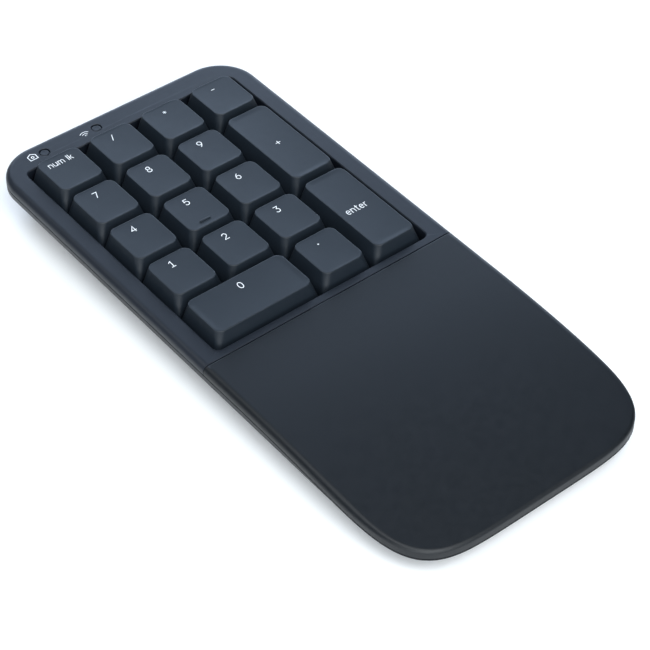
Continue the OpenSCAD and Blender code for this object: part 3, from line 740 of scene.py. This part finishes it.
# lower-case letters, standing on y = 0: their strokes, and how wide they are
LETTERS = {
    "n": ([line((0, 0), (0, 1.5)), line(*arc(0.5, 0.95, 0.5, 0.5, 180, 0, 10), (1.0, 0))], 1.0),
    "u": ([line((0, 1.5), *arc(0.5, 0.5, 0.5, 0.5, 180, 360, 10)), line((1.0, 1.5), (1.0, 0))], 1.0),
    "m": ([line((0, 0), (0, 1.5)),
           line(*arc(0.42, 1.0, 0.42, 0.45, 180, 0, 8), (0.84, 0)),
           line(*arc(1.26, 1.0, 0.42, 0.45, 180, 0, 8), (1.68, 0))], 1.68),
    "l": ([line((0, 0), (0, 2.15))], 0.0),
    "k": ([line((0, 0), (0, 2.15)), line((0.85, 1.5), (0.02, 0.72)), line((0.3, 0.98), (0.9, 0))], 0.9),
    "e": ([line((0.02, 0.78), (1.0, 0.78), *arc(0.5, 0.75, 0.5, 0.72, 5, 315, 18))], 1.0),
    "t": ([line((0.3, 2.0), (0.3, 0.35), *arc(0.6, 0.32, 0.3, 0.32, 190, 285, 5)),
           line((0, 1.5), (0.72, 1.5))], 0.7),
    "r": ([line((0, 0), (0, 1.5)), line(*arc(0.45, 0.95, 0.45, 0.5, 180, 75, 6))], 0.55),
    " ": ([], 0.35),
}


def word(text, size):
    """A word's strokes, centred, at this multiple of the letters' own size."""
    strokes, pen = [], 0.0
    for letter in text:
        parts, width = LETTERS[letter]
        for pts, closed in parts:
            strokes.append(([(x + pen, y - X_HEIGHT / 2) for x, y in pts], closed))
        pen += width + LETTER_GAP
    pen -= LETTER_GAP
    return [([((x - pen / 2) * size, y * size) for x, y in pts], closed) for pts, closed in strokes]


def ribbon(points, closed, width, height_at):
    """A flat stroke of even width with square ends, lying on a surface."""
    pts = [Vector(p) for p in points]
    n = len(pts)
    left, right = [], []
    for i, p in enumerate(pts):
        before = pts[i - 1] if (i or closed) else None
        after = pts[(i + 1) % n] if (i < n - 1 or closed) else None
        d1 = (p - before).normalized() if before is not None else (after - p).normalized()
        d2 = (after - p).normalized() if after is not None else d1
        tangent = (d1 + d2).normalized()
        normal = Vector((-tangent.y, tangent.x))
        reach = width / 2 / max(0.5, normal.dot(Vector((-d1.y, d1.x))))
        if not closed and i in (0, n - 1):
            p = p + tangent * (width * 0.25) * (-1 if i == 0 else 1)
        left.append(p + normal * reach)
        right.append(p - normal * reach)
    verts = []
    for side in (left, right):
        for lift in (INK_T / 2, -INK_T / 2):
            verts += [(q.x, q.y, height_at(q.x, q.y) + lift) for q in side]
    lt, lb, rt, rb = 0, n, 2 * n, 3 * n
    faces = []
    for i in range(n if closed else n - 1):
        j = (i + 1) % n
        faces += [(lt + i, rt + i, rt + j, lt + j), (lb + i, lb + j, rb + j, rb + i),
                  (lt + i, lt + j, lb + j, lb + i), (rt + i, rb + i, rb + j, rt + j)]
    if not closed:
        faces += [(lt, lb, rb, rt), (lt + n - 1, rt + n - 1, rb + n - 1, lb + n - 1)]
    return verts, faces


def draw(strokes, x0, y0, width, height_at):
    """One ribbon for each stroke, about a point."""
    return [ribbon([(x + x0, y + y0) for x, y in pts], closed, width, height_at) for pts, closed in strokes]


def dot(x, y, r, height_at):
    plan = circle(x, y, r, 20)
    n = len(plan)
    verts, faces = prism(plan, -INK_T / 2, INK_T / 2)
    return [(px, py, height_at(px, py) + z) for px, py, z in verts], faces


# where a legend sits from its key's centre, and the width of its strokes
LEGEND_AT = {"num_lock": (-0.3, 4.9), "multiply": (-0.1, 4.9), "plus": (-0.5, 0.3),
             "enter": (-1.0, 0.1), "0": (-0.05, 4.65)}
LEGEND_WIDTH = {"num_lock": 0.22, "multiply": 0.17, "enter": 0.23}
WORDS = {"num_lock": ("num lk", 1.1), "enter": ("enter", 1.16)}


def legend(key):
    cx, cy = key_centre(key)
    name = key.name
    dx, dy = LEGEND_AT.get(name, (-0.65, 4.75))
    x0, y0 = cx + dx, cy + dy

    def on_top(x, y):
        return KEY_PROUD - dish(key, x, y)

    if name == "decimal":
        parts = [dot(x0, y0 - 0.3, 0.26, on_top)]
    else:
        strokes = word(*WORDS[name]) if name in WORDS else SIGNS[name]
        parts = draw(strokes, x0, y0, LEGEND_WIDTH.get(name, 0.25), on_top)
    piece("legend_" + name, *merge(*parts), LEGEND, "keycap", "key_" + name)


def icons():
    """Two printed marks beside the windows: a plain badge, and radiating arcs."""
    def on_deck(x, y):
        return 0.0

    badge = [([(-1.3, -1.1), (1.3, -1.1), (1.35, 0.8), (0, 1.65), (-1.35, 0.8)], True)]
    roundel = [loop(0, 0, 0.42, 0.42, 16)]
    fan_arcs = [line(*arc(0, 0, r, r, 47, 133, 12)) for r in (0.55, 1.35, 2.15)]
    badge_x, fan_x = WINDOW_XS[0] - 4.2, WINDOW_XS[1] - 4.6
    parts = draw(badge, badge_x, WINDOW_Y + 0.1, 0.28, on_deck)
    parts += draw(roundel, badge_x, WINDOW_Y + 0.1, 0.26, on_deck)
    parts += draw(fan_arcs, fan_x, WINDOW_Y - 1.6, 0.22, on_deck)
    piece("indicator_marks", *merge(*parts), LEGEND, "case_top")


def windows():
    """The two indicator windows: a plug with a broken edge and a slightly sunken face."""
    levels = [(1.55, -4.0), (1.55, -0.42), (1.42, -0.26), (1.1, -0.24), (0.7, -0.25), (0.3, -0.26)]
    parts = []
    for x in WINDOW_XS:
        verts, faces = stack([at(circle(x, WINDOW_Y, r), z) for r, z in levels], closed_loop=False)
        cap(faces, 0, SEGMENTS)
        fan(verts, faces, len(levels) - 1, SEGMENTS, (x, WINDOW_Y, -0.26))
        parts.append((verts, faces))
    piece("indicator_windows", *merge(*parts), WINDOW, "window", replaces=["status_windows"], sharp=50)


# ---- underside, with heights from the table --------------------------------------------------

def feet():
    """Rubber pads with a rounded edge and a shallow sunken middle."""
    levels = [(4.6, 1.0), (FOOT_R, 1.0), (FOOT_R, 0.25), (4.75, 0.03), (4.4, 0.0), (3.9, 0.0),
              (3.7, 0.12), (1.2, 0.14)]
    n = 56
    parts = []
    for x, y in FEET:
        y += FIELD_Y
        verts, faces = stack([at(circle(x, y, r, n), z) for r, z in levels], closed_loop=False)
        fan(verts, faces, 0, n, (x, y, 1.0))
        fan(verts, faces, len(levels) - 1, n, (x, y, 0.14))
        parts.append((verts, faces))
    piece("foot_pads", *merge(*parts), RUBBER, "foot_rubber", replaces=["rubber_feet"], matrix=TABLE)


def door():
    """The battery door: rounded corners, a broken edge and its two hinge pins."""
    y0, y1 = HINGE_Y - DOOR_LIP + FIELD_Y, BAY_Y + BAY_HALF - DOOR_GAP + FIELD_Y
    mid, half_x, half_y = (y0 + y1) / 2, BAY_X - DOOR_GAP, (y1 - y0) / 2
    top = FOOT_H + DOOR_T
    levels = [(0.5, FOOT_H), (DOOR_BREAK, FOOT_H), (0.0, FOOT_H + DOOR_BREAK), (0.0, top), (0.6, top)]
    rings = [at(round_plan(half_x - g, half_y - g, DOOR_R, cy=mid), z) for g, z in levels]
    n = len(rings[0])
    verts, faces = stack(rings, closed_loop=False)
    cap(faces, 0, n)
    cap(faces, len(rings) - 1, n)
    parts = [(verts, faces)]
    for side in (-1, 1):
        for r, inner_x, outer_x in PINS:
            pin, pin_faces = cylinder(0, 0, r, inner_x, outer_x, 24)
            parts.append(([(side * z, x + HINGE_Y + FIELD_Y, y + HINGE_Z) for x, y, z in pin], pin_faces))
    piece("battery_door_panel", *merge(*parts), SHADED_LOWER, "case_bottom", "battery_door", ["battery_door"],
          matrix=TABLE)


# ---- build -----------------------------------------------------------------------------------

palm_rest()
top_case()
bottom_case()
bay_ribs()
for key in KEYS:
    keycap(key)
    legend(key)
    dome(key)
icons()
windows()
feet()
door()

# CAD nodes that are kept as they are, each with a finished material
KEPT = {
    "key_guide_frame": BLACK, "membrane_sheet": FILM, "base_plate": STEEL, "main_circuit_board": BOARD,
    "board_components": BLACK, "indicator_board": BOARD, "status_leds": LED, "indicator_cable": FILM,
    "power_switch_body": STEEL, "power_switch_knob": BLACK, "connect_switch": STEEL, "connect_button": BLACK,
    "battery_cells": CELL, "battery_contacts": NICKEL, "case_screws": STEEL,
    "stabiliser_plus": WIRE, "stabiliser_enter": WIRE, "stabiliser_0": WIRE,
}
for name, mat in KEPT.items():
    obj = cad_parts[name]
    if not obj.material_slots:
        obj.data.materials.append(mat)
    for slot in obj.material_slots:
        slot.material = mat


# ---- stage, light and camera, in metres ------------------------------------------------------

def pale_floor():
    """Near white, with a faint glow that grows from 0.4 m to 1.3 m away from the object."""
    mat, tree, shader, coords = node_tree("pale_floor")
    pale = ramp(tree, noise(tree, coords, 4), (0.89, 0.89, 0.89), (0.91, 0.91, 0.91))
    tree.links.new(pale, shader.inputs["Base Color"])
    shader.inputs["Roughness"].default_value = 0.8
    away = tree.nodes.new("ShaderNodeVectorMath")
    away.operation = "LENGTH"
    tree.links.new(coords, away.inputs[0])
    glow = remap(tree, away.outputs["Value"], 0.12, 1.0, lo_in=0.4, hi_in=1.3)
    tree.links.new(glow, shader.inputs["Emission Strength"])
    shader.inputs["Emission Color"].default_value = (0.88, 0.94, 1.0, 1)
    return mat


floor = bpy.data.meshes.new("floor")
floor.from_pydata([(-3, -3, 0), (3, -3, 0), (3, 3, 0), (-3, 3, 0)], [], [(0, 1, 2, 3)])
floor_obj = bpy.data.objects.new("floor", floor)
bpy.context.scene.collection.objects.link(floor_obj)
floor_obj.location.z = -0.0001
floor.materials.append(pale_floor())

world = bpy.data.worlds.new("studio")
bpy.context.scene.world = world
world.use_nodes = True
sky = world.node_tree.nodes["Background"]
sky.inputs["Color"].default_value = (0.84, 0.92, 1.0, 1)
sky.inputs["Strength"].default_value = 0.06

# softboxes: watts, size, azimuth from +Y towards +X, elevation, colour
COOL, BLUE = (0.92, 0.97, 1.0), (0.62, 0.77, 1.0)
LIGHT_DISTANCE = 1.1
LIGHTS = {
    "back_light": (9.3, (1.3, 0.5), 38, 22, BLUE),
    "corner_light": (4.2, (1.0, 0.4), -131, 16, COOL),
    "front_light": (4.5, (0.9, 0.4), -165, 20, COOL),
    "high_light": (9.0, (0.8, 0.8), -172, 50, COOL),
    "left_light": (3.9, (0.8, 0.8), -60, 60, COOL),
    "top_light": (4.6, (1.0, 1.0), -141, 74, COOL),
}


def from_angle(azimuth, elevation, distance):
    a, e = math.radians(azimuth), math.radians(elevation)
    return Vector((math.sin(a) * math.cos(e), math.cos(a) * math.cos(e), math.sin(e))) * distance


def softbox(name, power, size, azimuth, elevation, colour):
    """A rectangular light that looks at the origin."""
    data = bpy.data.lights.new(name, "AREA")
    data.energy = power
    data.shape = "RECTANGLE"
    data.size, data.size_y = size
    data.color = colour
    obj = bpy.data.objects.new(name, data)
    bpy.context.scene.collection.objects.link(obj)
    obj.location = from_angle(azimuth, elevation, LIGHT_DISTANCE)
    obj.rotation_mode = "QUATERNION"
    obj.rotation_quaternion = (-obj.location).to_track_quat("-Z", "Y")


for name, settings in LIGHTS.items():
    softbox(name, *settings)

# The view's measured angles about the point it looks at, in the deck's frame, and its lens.
VIEW_AZ, VIEW_EL, VIEW_ROLL = math.radians(-39.352), math.radians(44.552), math.radians(0.709)
VIEW_TARGET = (-10.507, -60.85, 2.9)
VIEW_DISTANCE, VIEW_LENS = 571.7, 114.3


def photo_camera():
    """A camera at the photograph's viewing angle."""
    level = math.cos(VIEW_EL)
    back = Vector((math.sin(VIEW_AZ) * level, -math.cos(VIEW_AZ) * level, math.sin(VIEW_EL)))
    flat_right = Vector((math.cos(VIEW_AZ), math.sin(VIEW_AZ), 0))
    upright = back.cross(flat_right)
    right = math.cos(VIEW_ROLL) * flat_right + math.sin(VIEW_ROLL) * upright
    up = -math.sin(VIEW_ROLL) * flat_right + math.cos(VIEW_ROLL) * upright
    turn = Matrix((right, up, back)).transposed()
    spot = Vector(VIEW_TARGET) + back * VIEW_DISTANCE
    placed = DECK @ Matrix.Translation(spot) @ turn.to_4x4()
    camera = bpy.data.cameras.new("camera")
    camera.sensor_width = 36
    camera.lens = VIEW_LENS
    camera.clip_start, camera.clip_end = 0.01, 20
    obj = bpy.data.objects.new("camera", camera)
    bpy.context.scene.collection.objects.link(obj)
    turned = placed.to_3x3().normalized().to_4x4()
    obj.matrix_world = Matrix.Translation(placed.translation * 0.001) @ turned
    return obj


bpy.context.scene.camera = photo_camera()
bpy.context.scene.view_settings.view_transform = "Standard"
